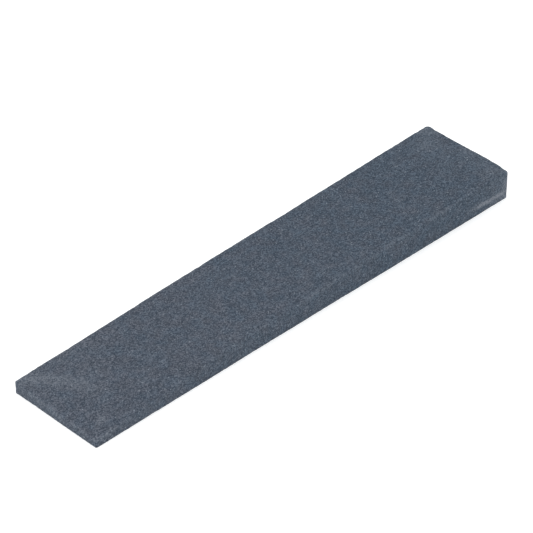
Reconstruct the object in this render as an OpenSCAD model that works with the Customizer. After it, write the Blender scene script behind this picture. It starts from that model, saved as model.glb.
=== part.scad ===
// Tapered slip stone: one solid abrasive bar for honing carving tools.
// The thin end is at -X, the thick end at +X, and the flat underside lies on z = 0.

/* [Bar] */
// Length from the thin end to the thick end
bar_length = 100; // [60:1:200]
// Width across the flat faces
bar_width = 20; // [12:1:50]
// Thickness at the thick end
thick_end = 6.1; // [5:0.1:12]
// Thickness at the thin end
thin_end = 2.4; // [1.5:0.1:4.5]
// Rise of the top face above a straight taper, at mid length
crown = 0.15; // [0:0.05:1]

/* [Edges] */
// Radius of the two upright corners at the thick end
thick_corner_radius = 0.6; // [0.4:0.1:3]
// Radius of the two upright corners at the thin end
thin_corner_radius = 0.3; // [0.3:0.1:3]
// Width of the eased edges, measured on each of the faces that meet there
edge_ease = 0.25; // [0.1:0.05:0.4]

/* [Dressed corner] */
// Depth dressed off the top at the front corner of the thin end
corner_drop = 1; // [0.2:0.05:1.2]
// Distance along the front edge over which that corner fades out
corner_run = 26; // [10:1:60]

/* [Hidden] */
stone_colour = [0.34, 0.37, 0.41];
half_length = bar_length / 2;
half_width = bar_width / 2;
taper = (thick_end - thin_end) / bar_length;
middle_thickness = (thick_end + thin_end) / 2;
// Room for one shape to run past another that trims it
margin = 4;
// Flat steps that make up the crowned top, each within a few micrometres of a smooth curve
crown_steps = 12;
corner_steps = 64;

// Height of the top face at a place along the bar
function top_z(x) = middle_thickness + taper * x + crown * (1 - pow(x / half_length, 2));

// Outline whose upper edge runs a given distance above the top face, times a scale
function under_top(offset, scale = 1) = concat(
    [[half_length + margin, -bar_width], [-half_length - margin, -bar_width]],
    [for (step = [-1 : crown_steps + 1])
        let (x = (2 * step / crown_steps - 1) * half_length)
            [x, (top_z(x) + offset) * scale]]
);

// Turns an outline drawn in X and Z into a block that runs across the bar
module across_bar() {
    rotate([90, 0, 0])
        linear_extrude(height = 4 * bar_width, center = true)
            children();
}

// Bar whose top is crowned and whose two long upper edges are eased
module crowned_bar() {
    intersection() {
        across_bar()
            polygon(under_top(0));
        for (side = [-1, 1])
            rotate([-45 * side, 0, 0])
                across_bar()
                    polygon(under_top(half_width - edge_ease, sqrt(1 / 2)));
    }
}

// Side outline: flat below, with the lower and upper edges of both ends eased
module end_edges() {
    tall = thick_end + margin;
    polygon([
        [-half_length, edge_ease],
        [edge_ease - half_length, 0],
        [half_length - edge_ease, 0],
        [half_length, edge_ease],
        [half_length, thick_end - edge_ease],
        [half_length - edge_ease - margin, tall],
        [edge_ease - half_length + tall - thin_end, tall],
        [-half_length, thin_end - edge_ease]
    ]);
}

// Outline across the bar, with both lower edges eased
module lower_edges() {
    tall = thick_end + margin;
    polygon([
        [-half_width, edge_ease],
        [edge_ease - half_width, 0],
        [half_width - edge_ease, 0],
        [half_width, edge_ease],
        [half_width, tall],
        [-half_width, tall]
    ]);
}

// Outline seen from above: a rectangle whose corners are round
module plan_outline() {
    straight = bar_length - thin_corner_radius - thick_corner_radius;
    translate([thin_corner_radius - half_length, -half_width])
        square([straight, bar_width]);
    end_strip(thin_corner_radius, -1);
    end_strip(thick_corner_radius, 1);
}

// The part of the outline past its straight sides, at the end that lies in the given direction along X
module end_strip(radius, direction) {
    centre_x = direction * (half_length - radius);
    centre_y = half_width - radius;
    translate([direction * (half_length - radius - margin / 2), 0])
        square([2 * radius + margin, 2 * centre_y], center = true);
    for (side = [-1, 1])
        translate([centre_x, side * centre_y])
            circle(r = radius, $fn = corner_steps);
}

// Everything above the sloping flat that is dressed on the front corner of the thin end
module dressed_corner() {
    corner = [-half_length, -half_width, thin_end - corner_drop];
    along_end = [0, bar_width, corner_drop];
    along_side = [corner_run, 0, top_z(corner_run - half_length) - corner[2]];
    normal = cross(along_side, along_end);
    size = 2 * (bar_length + bar_width);
    translate(corner)
        rotate(a = acos(normal[2] / norm(normal)), v = cross([0, 0, 1], normal))
            translate([-size / 2, -size / 2, 0])
                cube(size);
}

module slip_stone() {
    color(stone_colour)
        difference() {
            intersection() {
                crowned_bar();
                across_bar()
                    end_edges();
                rotate([90, 0, 90])
                    linear_extrude(height = bar_length + margin, center = true)
                        lower_edges();
                linear_extrude(height = thick_end + margin)
                    plan_outline();
            }
            dressed_corner();
        }
}

slip_stone();
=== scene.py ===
import math

import bpy
import numpy as np
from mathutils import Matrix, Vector


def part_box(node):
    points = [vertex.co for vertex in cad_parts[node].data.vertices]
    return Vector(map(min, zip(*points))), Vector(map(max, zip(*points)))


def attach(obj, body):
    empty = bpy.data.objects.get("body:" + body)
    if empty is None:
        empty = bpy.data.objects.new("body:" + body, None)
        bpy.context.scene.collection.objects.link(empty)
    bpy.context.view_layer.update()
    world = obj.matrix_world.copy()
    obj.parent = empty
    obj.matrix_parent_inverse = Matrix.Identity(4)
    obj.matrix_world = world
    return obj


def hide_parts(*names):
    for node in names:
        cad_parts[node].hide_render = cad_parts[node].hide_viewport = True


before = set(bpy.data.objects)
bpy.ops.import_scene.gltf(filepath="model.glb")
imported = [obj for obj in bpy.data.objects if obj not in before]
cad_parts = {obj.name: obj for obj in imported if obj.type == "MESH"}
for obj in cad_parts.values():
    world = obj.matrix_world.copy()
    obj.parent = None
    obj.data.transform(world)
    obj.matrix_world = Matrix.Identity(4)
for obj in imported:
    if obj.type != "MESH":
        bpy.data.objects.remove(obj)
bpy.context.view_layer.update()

# Looks of a tapered slip stone: one fired bar of silicon carbide grit on a pale floor.
# Shape values are in millimetres, and MM turns them into Blender's metres.
MM = 0.001
CAD_LOW, CAD_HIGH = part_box("slip_stone")
HALF_LENGTH = (CAD_HIGH.x - CAD_LOW.x) / 2 / MM
HALF_WIDTH = (CAD_HIGH.y - CAD_LOW.y) / 2 / MM
THICK_END = (CAD_HIGH.z - CAD_LOW.z) / MM

# Top face
THIN_END = 2.44
CROWN_FRONT = 0.13
CROWN_BACK = 0.16
# The corner of the thin end that was dressed lower, and how softly its flat meets the top
CORNER_DROP = 1.0
CORNER_RUN = 26.0
CORNER_SOFTNESS = 0.1
# Depth and spread of the wear at the front corner of the thick end
BLUNT_DEPTH = 0.4
BLUNT_SPREAD = 2.2

# Radii of the upright corners, seen from above: front and back of the thin end, then of the thick end
THIN_CORNERS = (0.3, 0.2)
THICK_CORNERS = (0.6, 0.85)
# Usual radii of the worn edges
TOP_EDGE_RADIUS = 0.2
LOW_EDGE_RADIUS = 0.07
# How much wear adds to the radius of the top edges, as a share of the usual radius. The back edge is
# sharper than usual where it isn't worn.
THICK_END_WEAR = 1.5
FRONT_EDGE_WEAR = 0.8
BACK_EDGE_WEAR = 0.9
BACK_EDGE_SHARPNESS = 0.5
# How hollow the front side is along its length, and where the hollow lies
FRONT_HOLLOW = 0.12
HOLLOW_PLACE = -7.0
HOLLOW_SPREAD = 24.0
# Rubbed strip low on the front side near the thick end: its upper limit at the end, how much higher that is
# where the strip starts, and its depth
SCUFF_HEIGHT = 1.7
SCUFF_RISE = 0.7
SCUFF_DEPTH = 0.06

# Small damage: how many, how wide and how deep
CHIP_COUNT = 90
CHIP_SIZES = (0.25, 0.7)
CHIP_DEPTHS = (0.015, 0.07)
DENT_COUNT = 26
DENT_SIZES = (0.5, 1.1)
DENT_DEPTHS = (0.02, 0.05)
# Unevenness of the skin: width of its lumps and their height
SWELL = (9.0, 0.04)
RIPPLE = (3.1, 0.02)
ROUGHNESS = (0.7, 0.03)

# Round rubbed spots on the top: place along and across the bar, spread, and share of pale wear
RUBBED_SPOTS = ((-46.0, -6.9, 0.75, 0.65), (45.3, 6.0, 2.6, 0.26), (43.5, 0.5, 3.5, 0.1))
# Share of pale wear where a chip has broken the skin
CHIP_PALENESS = 0.3

# Grid of the mesh: spacing at the edges and in the middle, and the zone of fine rows up a side
FINE_STEP = 0.08
COARSE_STEP = 0.31
STEP_GROWTH = 0.22
EDGE_ROWS = (0.0, 0.07, 0.15, 0.24, 0.34, 0.46, 0.6)
MIDDLE_ROWS = 18


# ---------------------------------------------------------------- numbers

def smooth(low, high, value):
    """0 below low, 1 above high, and a soft step between."""
    t = np.clip((value - low) / (high - low), 0.0, 1.0)
    return t * t * (3.0 - 2.0 * t)


def bell(value, centre, width):
    """1 at centre, falling to nothing over about twice the width."""
    return np.exp(-((value - centre) / width) ** 2)


def lumps(points, cell, seed):
    """Smooth random values from 0 to 1 at points, with lumps about one cell wide."""
    table = np.random.default_rng(seed).random((32, 32, 32))
    scaled = points / cell + 16.5
    base = np.floor(scaled).astype(int)
    part = scaled - base
    part = part * part * (3.0 - 2.0 * part)
    total = np.zeros(len(points))
    for corner in np.ndindex(2, 2, 2):
        weight = np.prod(np.where(corner, part, 1.0 - part), axis=1)
        i, j, k = ((base + corner) % 32).T
        total += weight * table[i, j, k]
    return total


# ---------------------------------------------------------------- shape of the bar

def top_height(x, y):
    """Height of the top face: a taper with a slight crown, and the dressed corner."""
    along = x / HALF_LENGTH
    across = (y + HALF_WIDTH) / (2 * HALF_WIDTH)
    taper = THIN_END + (THICK_END - THIN_END) * (1 + along) / 2
    crown = CROWN_FRONT + (CROWN_BACK - CROWN_FRONT) * across
    face = taper + crown * (1 - along ** 4)
    rise = (THICK_END - THIN_END) / (2 * HALF_LENGTH) + (CORNER_DROP + CROWN_FRONT) / CORNER_RUN
    flat = THIN_END - CORNER_DROP * (1 - across) + rise * (x + HALF_LENGTH)
    gap = (flat - face) / CORNER_SOFTNESS
    blunt = BLUNT_DEPTH * bell(np.hypot(x - HALF_LENGTH, y + HALF_WIDTH), 0.0, BLUNT_SPREAD)
    return face - CORNER_SOFTNESS * np.logaddexp(0.0, -gap) - blunt


def grid_lines(half, fine, coarse, growth):
    """Grid lines from -half to half, closer together near both ends."""
    inward = [0.0]
    while inward[-1] < half:
        inward.append(inward[-1] + min(coarse, fine + growth * inward[-1]))
    inward = np.array(inward) * half / inward[-1]
    return np.concatenate([inward - half, (half - inward)[-2::-1]])


def box_grid(nx, ny, nz):
    """Vertices (i, j, k) on the skin of a box of nx by ny by nz cells, and its quads."""
    number = -np.ones((nx + 1, ny + 1, nz + 1), int)
    i, j, k = np.indices(number.shape)
    skin = (i == 0) | (i == nx) | (j == 0) | (j == ny) | (k == 0) | (k == nz)
    number[skin] = np.arange(skin.sum())
    quads = []
    for axis in range(3):
        for side, outward in ((0, -1), (-1, 1)):
            face = np.take(number, side, axis=axis)
            loop = [face[:-1, :-1], face[1:, :-1], face[1:, 1:], face[:-1, 1:]]
            turned = outward * (-1 if axis == 1 else 1)
            quads.append(np.stack(loop[::turned], axis=-1).reshape(-1, 4))
    return i[skin], j[skin], k[skin], np.concatenate(quads)


def corner_radius(x, y):
    """Radius of the upright corner in whose quarter of the plan each point lies."""
    return np.where(x > 0, np.where(y < 0, *THICK_CORNERS), np.where(y < 0, *THIN_CORNERS))


def corner_distance(x, y):
    """Distance of each point, seen from above, to the nearest square corner of the bar."""
    return np.hypot(np.abs(x) - HALF_LENGTH, np.abs(y) - HALF_WIDTH)


def round_plan(x, y):
    """Rounds the four upright corners by turning each corner's square into a quarter disc."""
    radius = corner_radius(x, y)
    over_x = np.maximum(np.abs(x) - (HALF_LENGTH - radius), 0.0)
    over_y = np.maximum(np.abs(y) - (HALF_WIDTH - radius), 0.0)
    reach = np.hypot(over_x, over_y)
    shrink = np.where(reach > 0, np.maximum(over_x, over_y) / np.maximum(reach, 1e-9), 1.0)
    return (x - np.sign(x) * over_x * (1 - shrink), y - np.sign(y) * over_y * (1 - shrink))


def plan_inset(x, y):
    """Distance inside the rounded outline, and the direction inwards from it."""
    radius = corner_radius(x, y)
    qx = np.abs(x) - (HALF_LENGTH - radius)
    qy = np.abs(y) - (HALF_WIDTH - radius)
    in_corner = (qx > 0) & (qy > 0)
    reach = np.maximum(np.hypot(qx, qy), 1e-9)
    inset = np.where(in_corner, radius - reach, radius - np.maximum(qx, qy))
    way_x = np.where(in_corner, qx / reach, (qx >= qy).astype(float)) * -np.sign(x)
    way_y = np.where(in_corner, qy / reach, (qx < qy).astype(float)) * -np.sign(y)
    return inset, way_x, way_y


def round_edge(inset, depth, radius):
    """Turns a square edge into an arc: how far a point moves inwards, and away from the face."""
    a = np.clip(radius - inset, 0.0, None)
    b = np.clip(radius - depth, 0.0, None)
    near = (a > 0) & (b > 0)
    scale = np.where(near, radius / np.maximum(np.hypot(a, b), 1e-9), 1.0)
    return np.where(near, a * (1 - scale), 0.0), np.where(near, b * (1 - scale), 0.0)


def edge_radius(x, y, usual, seed):
    """Radius of the worn edge at each point: uneven along the bar, within what a corner has room for."""
    spot = np.stack([x, y, np.zeros_like(x)], axis=1)
    radius = usual * (0.6 + 0.8 * lumps(spot, 7.0, seed))
    radius *= 0.8 + 0.4 * lumps(spot, 1.3, seed + 1)
    corner = corner_radius(x, y)
    past_corner = np.maximum(corner_distance(x, y) - corner, 0.0)
    return np.minimum(radius, 0.7 * corner + 0.3 * past_corner)


def top_wear(x, y):
    """How worn the top edges are: all of the front edge, two stretches of the back edge, the thick end."""
    front = FRONT_EDGE_WEAR * smooth(-8.0, -9.0, y)
    near_thin_end = smooth(-47.0, -36.0, x) * smooth(-21.5, -22.5, x)
    near_thick_end = smooth(9.0, 10.0, x) * smooth(44.0, 26.0, x)
    stretches = BACK_EDGE_WEAR * (near_thin_end + near_thick_end)
    back = (stretches - BACK_EDGE_SHARPNESS) * smooth(8.0, 9.0, y)
    thick = THICK_END_WEAR * smooth(HALF_LENGTH - 2.5, HALF_LENGTH - 1.0, x) * smooth(10.0, 4.5, y)
    return 1 + front + back + thick


def stone_points(i, j, k, xs, ys):
    """Places of the grid's vertices on the rounded bar, with how near each is to an edge."""
    x, y = round_plan(xs[i], ys[j])
    height = top_height(x, y)
    rows = np.array(EDGE_ROWS)
    zone = rows[-1]
    middle = np.arange(1, MIDDLE_ROWS) / MIDDLE_ROWS
    fixed = np.concatenate([rows, np.full(MIDDLE_ROWS - 1, zone), 2 * zone - rows[::-1]])
    share = np.concatenate([np.zeros(len(rows)), middle, np.ones(len(rows))])
    z = fixed[k] + share[k] * (height - 2 * zone)
    inset, way_x, way_y = plan_inset(x, y)
    inset = np.where((i == 0) | (i == len(xs) - 1) | (j == 0) | (j == len(ys) - 1), 0.0, inset)
    top_radius = edge_radius(x, y, TOP_EDGE_RADIUS * top_wear(x, y), 11)
    low_radius = edge_radius(x, y, LOW_EDGE_RADIUS, 21)
    top_in, top_down = round_edge(inset, height - z, top_radius)
    low_in, low_up = round_edge(inset, z, low_radius)
    inward = top_in + low_in
    edge = np.hypot(inset, np.minimum(height - z, z))
    points = np.stack([x + way_x * inward, y + way_y * inward, z - top_down + low_up], axis=1)
    return points, edge


def skin_normals(points, quads):
    """Unit normals of the vertices."""
    a, b, c, d = (points[quads[:, n]] for n in range(4))
    across = np.cross(c - a, d - b)
    normals = np.zeros_like(points)
    for n in range(4):
        np.add.at(normals, quads[:, n], across)
    return normals / np.linalg.norm(normals, axis=1)[:, None]


def edge_spots(rng, count):
    """Random places on the edges: most on the long ones, a few on the thick end's upright corners."""
    spots = []
    for _ in range(count):
        x = rng.uniform(-HALF_LENGTH, HALF_LENGTH)
        y = rng.uniform(-HALF_WIDTH, HALF_WIDTH)
        kind = rng.random()
        upright = kind > 0.9
        if kind < 0.62:
            y = rng.choice((-HALF_WIDTH, HALF_WIDTH))
        else:
            x = rng.choice((-HALF_LENGTH, HALF_LENGTH))
        if upright:
            x = HALF_LENGTH
            y = rng.choice((-HALF_WIDTH, HALF_WIDTH))
        top = float(top_height(np.array([x]), np.array([y]))[0])
        z = rng.uniform(0, top) if upright else rng.choice((0.0, top), p=(0.2, 0.8))
        spots.append((x, y, z))
    return np.array(spots)


def chip_depth(points, spots, rng, sizes, depths):
    """How deep small chips cut in at each point, and how much of each point is chipped."""
    depth = np.zeros(len(points))
    broken = np.zeros(len(points))
    for spot in spots:
        reach = rng.uniform(*sizes)
        cut = rng.uniform(*depths)
        offset = points - spot
        # Away from the ends, damage is longer along the bar than across it
        if abs(spot[0]) < HALF_LENGTH:
            offset = offset * (rng.uniform(0.5, 1.0), 1.0, 1.0)
        inside = np.clip(1 - np.linalg.norm(offset, axis=1) / reach, 0.0, 1.0)
        hollow = inside * inside * (3 - 2 * inside)
        depth = np.maximum(depth, cut * hollow)
        broken = np.maximum(broken, hollow)
    return depth, broken


def scuff_line(x):
    """Upper limit of the rubbed strip on the front side."""
    return SCUFF_HEIGHT + SCUFF_RISE * smooth(45.5, 36.0, x)


def skin_lumps(points, size, seed):
    """Random unevenness of the skin, centred on zero, for a given lump width and height."""
    width, height = size
    return height * (lumps(points, width, seed) - 0.5)


def carve(points, normals, edge):
    """Moves the skin inwards for chips, dents, unevenness and the rubbed strip, and hollows the front side.

    Returns the new points, and how much of each one is chipped.
    """
    x, y, z = points.T
    rng = np.random.default_rng(7)
    spots = edge_spots(rng, CHIP_COUNT)
    chips, broken = chip_depth(points, spots, rng, CHIP_SIZES, CHIP_DEPTHS)
    # Half of the dents lie on the top, and the others underneath
    low, high = (-HALF_LENGTH, -HALF_WIDTH, 0), (HALF_LENGTH, HALF_WIDTH, 0)
    dents = rng.uniform(low, high, (DENT_COUNT, 3))
    on_top = dents[:DENT_COUNT // 2]
    on_top[:, 2] = top_height(on_top[:, 0], on_top[:, 1])
    hollows, _ = chip_depth(points, dents, rng, DENT_SIZES, DENT_DEPTHS)
    uneven = skin_lumps(points, SWELL, 31) + skin_lumps(points, RIPPLE, 32)
    rough = skin_lumps(points, ROUGHNESS, 33) * (1 + bell(edge, 0.0, 0.3))
    front = smooth(-0.6, -0.9, normals[:, 1])
    below = scuff_line(x) - z
    strip = smooth(-0.25, 0.25, below) * smooth(36.0, 42.0, x) * front
    rubbed = SCUFF_DEPTH * strip * np.clip(below / 2.0, 0.0, 1.0)
    depth = chips + hollows + uneven + rough + rubbed
    carved = points - normals * depth[:, None]
    carved[:, 1] += FRONT_HOLLOW * bell(x, HOLLOW_PLACE, HOLLOW_SPREAD) * smooth(0.0, -HALF_WIDTH, y)
    carved[:, 2] = np.maximum(carved[:, 2], 0.0)
    return carved, broken


# ---------------------------------------------------------------- pale wear and painted highlights

class Skin:
    """The mesh's points, with which way each one faces and how near an edge or a corner it is."""

    def __init__(self, points, normals, edge):
        self.x, self.y, self.z = points.T
        self.edge = edge
        self.top = smooth(0.55, 0.9, normals[:, 2])
        self.front_side = smooth(-0.5, -0.85, normals[:, 1])
        self.thin_face = smooth(-0.5, -0.85, normals[:, 0])
        self.corner = corner_distance(self.x, self.y)
        self.wide_lumps = lumps(points, 4.0, 41)
        self.small_lumps = lumps(points, 0.9, 42)


def edge_marks(skin):
    """Uneven wear and painted highlight along all edges, with two brighter arrises on the top at the thin
    end.
    """
    x, y = skin.x, skin.y
    rubbed = bell(skin.edge, 0.0, 0.3) * (0.2 * smooth(0.3, 0.8, skin.wide_lumps) + 0.16 * skin.small_lumps)
    back = 1.5 - 1.2 * smooth(0.0, 35.0, x)
    front = 0.45 + 0.75 * smooth(-35.0, -5.0, x)
    # Painted highlights on the arrises, on top of their wear
    arris = bell(skin.edge, 0.0, 0.28) * (skin.z > 1)
    front_arris = arris * smooth(-44.0, -46.5, x) * (y < -9) * 0.8
    end_arris = arris * (x < -49) * (0.04 + 0.4 * smooth(0.5, 0.75, skin.wide_lumps))
    return rubbed * np.where(y > 0, back, front), front_arris, end_arris


def thin_end_marks(skin):
    """A band of wear across the top near the thin end, the lighter zones beside it, and the end's face."""
    x, y = skin.x, skin.y
    # The band starts at the back corner and swings round to run across the bar
    middle = -42.0 - 0.8 * np.logaddexp(0.0, y - 1.5)
    fade = 0.75 * smooth(-6.0, 2.5, y) + 0.27 * smooth(3.0, 9.0, y)
    band = skin.top * bell(x, middle, 2.0) * fade * (0.47 + 0.2 * skin.small_lumps)
    spread = skin.top * bell(x, -40.0, 5.0) * smooth(-4.0, 3.0, y) * (0.08 + 0.12 * smooth(6.0, 9.5, y))
    end_zone = skin.top * smooth(-41.0, -49.0, x) * smooth(-4.0, 9.0, y) * 0.07
    stretch = smooth(-2.6, -1.0, y) * smooth(7.5, 5.5, y) * smooth(0.3, 1.8, skin.z)
    return band, spread, end_zone, skin.thin_face * stretch * 0.36


def thick_end_marks(skin):
    """Lighter zones on the top near the thick end, and on its upright edges."""
    x, y = skin.x, skin.y
    thick_half = x > 0
    end_zone = skin.top * smooth(45.0, 49.0, x) * smooth(3.0, -1.0, y) * 0.22
    front_corner = skin.top * smooth(7.5, 3.0, skin.corner) * thick_half * (y < 0) * 0.23
    back_corner = skin.top * smooth(4.5, 2.5, skin.corner) * thick_half * (y > 0) * 0.3
    upright = (1 - skin.top) * smooth(2.6, 0.6, skin.corner) * thick_half * 0.15
    return end_zone, front_corner, back_corner, upright


def scuff_marks(skin):
    """The rubbed strip on the front side: its bright upper limit, the strip, and the end of the side."""
    x, z = skin.x, skin.z
    above = z - scuff_line(x)
    length = smooth(38.0, 45.0, x) * smooth(50.4, 48.2, x)
    limit = bell(above, 0.0, 0.42) * length * (0.45 + 2.5 * skin.small_lumps)
    strip = smooth(0.1, -0.3, above) * smooth(42.0, 46.0, x) * (0.38 + 0.2 * smooth(48.0, 49.2, x))
    end = 0.15 * smooth(40.0, 47.0, x) + smooth(47.5, 49.2, x) * (0.06 + 0.4 * bell(z, 2.8, 1.2))
    return [skin.front_side * mark for mark in (limit, strip, end)]


def pale_wear_and_highlight(skin, broken):
    """Share of pale wear and painted highlight at each point: the strongest of the marks that reach it."""
    marks = [*edge_marks(skin), *thin_end_marks(skin), *thick_end_marks(skin), *scuff_marks(skin)]
    for x, y, spread, share in RUBBED_SPOTS:
        marks.append(skin.top * bell(np.hypot(skin.x - x, skin.y - y), 0.0, spread) * share)
    marks.append(CHIP_PALENESS * broken)
    return np.maximum.reduce(marks)


def stone_body():
    """The whole bar as one closed mesh, with its pale wear and painted highlights, and the painted shade of
    its sides, as attributes of the points.
    """
    xs = grid_lines(HALF_LENGTH, FINE_STEP, COARSE_STEP, STEP_GROWTH)
    ys = grid_lines(HALF_WIDTH, FINE_STEP, COARSE_STEP, STEP_GROWTH)
    i, j, k, quads = box_grid(len(xs) - 1, len(ys) - 1, 2 * len(EDGE_ROWS) + MIDDLE_ROWS - 2)
    points, edge = stone_points(i, j, k, xs, ys)
    normals = skin_normals(points, quads)
    points, broken = carve(points, normals, edge)
    skin = Skin(points, normals, edge)
    # The second share is painted shade: every face but the top is darkened in the colour.
    shares = {"pale_wear_and_highlight": pale_wear_and_highlight(skin, broken), "side_shade": 1 - skin.top}
    mesh = bpy.data.meshes.new("stone_body")
    mesh.from_pydata((points * MM).tolist(), [], quads.tolist())
    mesh.shade_smooth()
    for name, share in shares.items():
        mesh.attributes.new(name, "FLOAT", "POINT").data.foreach_set("value", share)
    body = bpy.data.objects.new("stone_body", mesh)
    bpy.context.scene.collection.objects.link(body)
    return body


# ---------------------------------------------------------------- materials

class Nodes:
    """Short calls that add and link the nodes of one material."""

    def __init__(self, name):
        self.material = bpy.data.materials.new(name)
        self.material.use_nodes = True
        self.tree = self.material.node_tree
        self.shader = self.tree.nodes["Principled BSDF"]

    def put(self, socket, value):
        """Sets a socket to a plain value, or links it to another node's output."""
        if isinstance(value, bpy.types.NodeSocket):
            self.tree.links.new(value, socket)
        else:
            socket.default_value = value

    def add(self, kind, settings=None, **inputs):
        node = self.tree.nodes.new(kind)
        for key, value in (settings or {}).items():
            setattr(node, key, value)
        for key, value in inputs.items():
            self.put(node.inputs[key.replace("_", " ")], value)
        return node

    def math(self, operation, *values):
        node = self.add("ShaderNodeMath", {"operation": operation})
        for socket, value in zip(node.inputs, values):
            self.put(socket, value)
        return node.outputs[0]

    def span(self, value, low, high, to_low=0.0, to_high=1.0):
        """Maps a value from one range to another, and holds it inside."""
        node = self.add("ShaderNodeMapRange", Value=value, From_Min=low, From_Max=high,
                        To_Min=to_low, To_Max=to_high)
        return node.outputs["Result"]

    def mix(self, share, first, second):
        node = self.add("ShaderNodeMix", {"data_type": "RGBA"})
        for socket, value in ((node.inputs[0], share), (node.inputs[6], first), (node.inputs[7], second)):
            self.put(socket, value)
        return node.outputs[2]

    def vector(self, operation, first, second):
        node = self.add("ShaderNodeVectorMath", {"operation": operation})
        self.put(node.inputs[0], first)
        self.put(node.inputs[1], second)
        return node.outputs[0]

    def scaled(self, colour, factor):
        """A colour or place times a number."""
        node = self.add("ShaderNodeVectorMath", {"operation": "SCALE"}, Vector=colour, Scale=factor)
        return node.outputs[0]

    def noise(self, where, cell, detail=2.0):
        """Soft noise whose lumps are about one cell (in millimetres) across."""
        node = self.add("ShaderNodeTexNoise", Vector=where, Scale=1 / cell, Detail=detail)
        return node.outputs["Fac"]

    def scratches(self, where):
        """Thin faint lines in a few patches: where stretched noise crosses its middle value."""
        lines = None
        for angle, length, apart in SCRATCHES:
            turned = self.add("ShaderNodeMapping", Vector=where, Rotation=(0, 0, math.radians(angle)),
                              Scale=(1 / length, 1 / apart, 1 / apart)).outputs[0]
            offset = self.math("ABSOLUTE", self.math("SUBTRACT", self.noise(turned, 1.0, 1.0), 0.5))
            patch = self.span(self.noise(self.vector("ADD", where, (angle, 0, 0)), 6.0), 0.52, 0.62)
            line = self.math("MULTIPLY", self.span(offset, 0.012, 0.0, 0.0, 0.3), patch)
            lines = line if lines is None else self.math("MAXIMUM", lines, line)
        return lines

    def grains(self, where, cell):
        """Random values for each grain, about one cell (in millimetres) wide, and how far its middle is."""
        node = self.add("ShaderNodeTexVoronoi", Vector=where, Scale=1 / cell)
        split = self.add("ShaderNodeSeparateColor", Color=node.outputs["Color"])
        return split.outputs, node.outputs["Distance"]


# Cells of the material's grains and pores, in millimetres
GRAIN = 0.2
FINE_GRAIN = 0.14
PORE_CELL = 0.55
# Faint scratches: direction in degrees from the length, how long they are and how far apart, in millimetres
SCRATCHES = ((8.0, 14.0, 1.3), (-38.0, 7.0, 1.1))
# Colours, linear: the darkest and palest grains, rubbed and dusty stone that also gives the painted
# highlights of the edges, a painted glint of a bright facet, an open pore
DARK_GRAIN = (0.018, 0.030, 0.0495, 1)
LIGHT_GRAIN = (0.1225, 0.146, 0.186, 1)
PALE_WEAR_AND_HIGHLIGHT = (0.145, 0.164, 0.196, 1)
FACET_GLINT = (0.19, 0.22, 0.26, 1)
PORE = (0.016, 0.021, 0.030, 1)
# Tints of the cool and the warm patches
COOL_TINT = (0.90, 1.01, 1.05, 1)
WARM_TINT = (1.09, 1.01, 0.98, 1)
# Tints of the ground top, left plain, and of the sides, darker as painted shade
PLAIN_TINT = (1, 1, 1, 1)
SIDE_SHADE_TINT = (0.90, 0.93, 0.94, 1)


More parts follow.
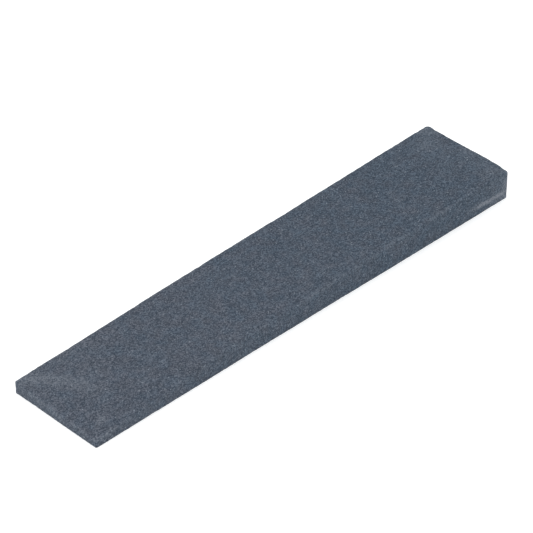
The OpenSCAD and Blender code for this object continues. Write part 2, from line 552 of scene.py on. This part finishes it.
def stone_material():
    """Bonded silicon carbide: dark blue-grey grains, pores, a few painted glints of bright facets, pale
    worn edges with painted highlights, painted shade on the sides.
    """
    n = Nodes("silicon_carbide")
    in_mm = n.scaled(n.add("ShaderNodeTexCoord").outputs["Object"], 1 / MM)
    grain, grain_middle = n.grains(in_mm, GRAIN)
    fine, _ = n.grains(in_mm, FINE_GRAIN)
    coarse, coarse_middle = n.grains(in_mm, PORE_CELL)
    # Share of pale wear and of painted highlights on the edges
    pale = n.add("ShaderNodeAttribute", {"attribute_name": "pale_wear_and_highlight"}).outputs["Fac"]
    # Share of painted shade: every face but the top
    skin = n.add("ShaderNodeAttribute", {"attribute_name": "side_shade"}).outputs["Fac"]

    # Grains of two sizes, warmer and paler towards the thin end and in small patches, with painted shade
    # darkening the sides
    share = n.math("MULTIPLY_ADD", fine[0], 0.27, n.math("MULTIPLY", grain[0], 0.73))
    grit = n.mix(n.math("POWER", share, 1.8), DARK_GRAIN, LIGHT_GRAIN)
    along = n.add("ShaderNodeSeparateXYZ", Vector=in_mm).outputs["X"]
    drift = n.math("MULTIPLY_ADD", along, -0.0032, n.noise(in_mm, 2.4, 4.0))
    tint = n.mix(n.span(drift, 0.3, 0.7), COOL_TINT, WARM_TINT)
    grit = n.vector("MULTIPLY", grit, tint)
    # Painted shade: the sides are darkened
    grit = n.vector("MULTIPLY", grit, n.mix(skin, PLAIN_TINT, SIDE_SHADE_TINT))
    patches = n.math("MULTIPLY_ADD", n.noise(in_mm, 2.2), 0.3, 0.8)
    colour = n.scaled(grit, n.math("MULTIPLY_ADD", along, -0.0011, patches))

    # Rubbed places with painted highlights on the edges, thin scratches, painted glints of bright facets,
    # and pores
    tips = n.span(share, 0.2, 0.8, 0.3, 1.55)
    uneven = n.span(n.noise(in_mm, 0.5, 3.0), 0.3, 0.65, 0.5, 1.2)
    rubbed = n.math("MULTIPLY", pale, n.math("MULTIPLY", uneven, tips))
    scratched = n.math("MAXIMUM", rubbed, n.scratches(in_mm))
    # Pale wear and painted highlights
    colour = n.mix(scratched, colour, PALE_WEAR_AND_HIGHLIGHT)
    # Painted glints: a few grains take the colour of a glinting facet
    colour = n.mix(n.span(grain[1], 0.977, 1.005), colour, FACET_GLINT)
    pores = n.math("MULTIPLY", n.span(coarse[1], 0.93, 0.94), n.span(coarse_middle, 0.3, 0.12))
    colour = n.mix(n.math("MULTIPLY", pores, 0.7), colour, PORE)
    n.put(n.shader.inputs["Base Color"], colour)

    rough = n.math("MULTIPLY_ADD", grain[2], 0.2, 0.68)
    n.put(n.shader.inputs["Roughness"], n.math("MULTIPLY_ADD", rubbed, -0.1, rough))
    n.shader.inputs["Specular IOR Level"].default_value = 0.35

    # Relief: rounded grains of random height, and pores sunk between them
    height = n.math("MULTIPLY", grain[0], n.math("SUBTRACT", 1.0, grain_middle))
    height = n.math("MULTIPLY_ADD", fine[0], 0.35, height)
    height = n.math("MULTIPLY_ADD", pores, -1.6, height)
    bump = n.add("ShaderNodeBump", Height=height, Strength=0.55, Distance=0.05 * MM)
    n.put(n.shader.inputs["Normal"], bump.outputs["Normal"])
    return n.material


def floor_material():
    """Matte white paper, lit a little from within so that the stone's shadow on it stays faint."""
    n = Nodes("paper_floor")
    n.shader.inputs["Base Color"].default_value = FLOOR_COLOUR
    n.shader.inputs["Emission Color"].default_value = WHITE
    n.shader.inputs["Emission Strength"].default_value = FLOOR_GLOW
    n.shader.inputs["Roughness"].default_value = 0.9
    n.shader.inputs["Specular IOR Level"].default_value = 0.2
    return n.material


# ---------------------------------------------------------------- floor, light and camera

WHITE = (1, 1, 1, 1)
FLOOR_SIZE = 6.0
FLOOR_COLOUR = (0.9, 0.9, 0.9, 1)
FLOOR_GLOW = 0.31
WORLD_LIGHT = 1.0
# Name, place round the stone (azimuth, elevation in degrees), distance and size in metres, power, colour
LAMPS = (
    ("key_light", -82.0, 48.0, 1.1, 0.9, 2.7, (1.0, 1.0, 1.0)),
    ("back_light", 150.0, 60.0, 1.2, 1.0, 1.2, (1.0, 1.0, 1.0)),
    ("front_fill", -40.0, 12.0, 1.3, 1.0, 0.9, (0.5, 0.93, 1.0)),
)
VIEW_AZIMUTH = -44.64
VIEW_ELEVATION = 36.69
VIEW_DISTANCE = 0.5063
VIEW_LENS = 195.19
VIEW_SENSOR = 36.0
# Point on the floor that the camera looks at, from the middle of the stone
VIEW_TARGET = Vector((4.12, 5.68, 0.0)) * MM


def towards(azimuth, elevation):
    """Unit vector from the stone to a place round it; azimuth 0 is the front, 90 the thick end."""
    a, e = math.radians(azimuth), math.radians(elevation)
    return Vector((math.sin(a) * math.cos(e), -math.cos(a) * math.cos(e), math.sin(e)))


def place(thing, name, target, azimuth, elevation, distance):
    """Links a lamp or camera into the scene, aimed at the target from its place round the stone."""
    holder = bpy.data.objects.new(name, thing)
    back = towards(azimuth, elevation)
    holder.location = target + back * distance
    holder.rotation_mode = "QUATERNION"
    holder.rotation_quaternion = (-back).to_track_quat("-Z", "Y")
    bpy.context.scene.collection.objects.link(holder)
    return holder


def make_floor():
    mesh = bpy.data.meshes.new("floor")
    half = FLOOR_SIZE / 2
    corners = [(-half, -half, 0), (half, -half, 0), (half, half, 0), (-half, half, 0)]
    mesh.from_pydata(corners, [], [(0, 1, 2, 3)])
    floor = bpy.data.objects.new("floor", mesh)
    mesh.materials.append(floor_material())
    bpy.context.scene.collection.objects.link(floor)


def make_lights(target):
    for name, azimuth, elevation, distance, size, power, colour in LAMPS:
        lamp = bpy.data.lights.new(name, "AREA")
        lamp.shape = "DISK"
        lamp.size = size
        lamp.energy = power
        lamp.color = colour
        place(lamp, name, target, azimuth, elevation, distance).visible_camera = False
    world = bpy.data.worlds.new("studio")
    world.use_nodes = True
    background = world.node_tree.nodes["Background"]
    background.inputs["Color"].default_value = WHITE
    background.inputs["Strength"].default_value = WORLD_LIGHT
    bpy.context.scene.world = world


def make_camera(target):
    camera = bpy.data.cameras.new("camera")
    camera.lens = VIEW_LENS
    camera.sensor_width = VIEW_SENSOR
    camera.clip_start = 0.01
    camera.clip_end = 20.0
    holder = place(camera, "camera", target, VIEW_AZIMUTH, VIEW_ELEVATION, VIEW_DISTANCE)
    bpy.context.scene.camera = holder


def main():
    centre = (CAD_LOW + CAD_HIGH) / 2
    centre.z = CAD_LOW.z
    body = stone_body()
    body.data.materials.append(stone_material())
    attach(body, "root")
    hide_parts("slip_stone")
    make_floor()
    make_lights(centre)
    make_camera(centre + VIEW_TARGET)
    bpy.context.scene.view_settings.view_transform = "Standard"
    bpy.context.view_layer.update()


main()
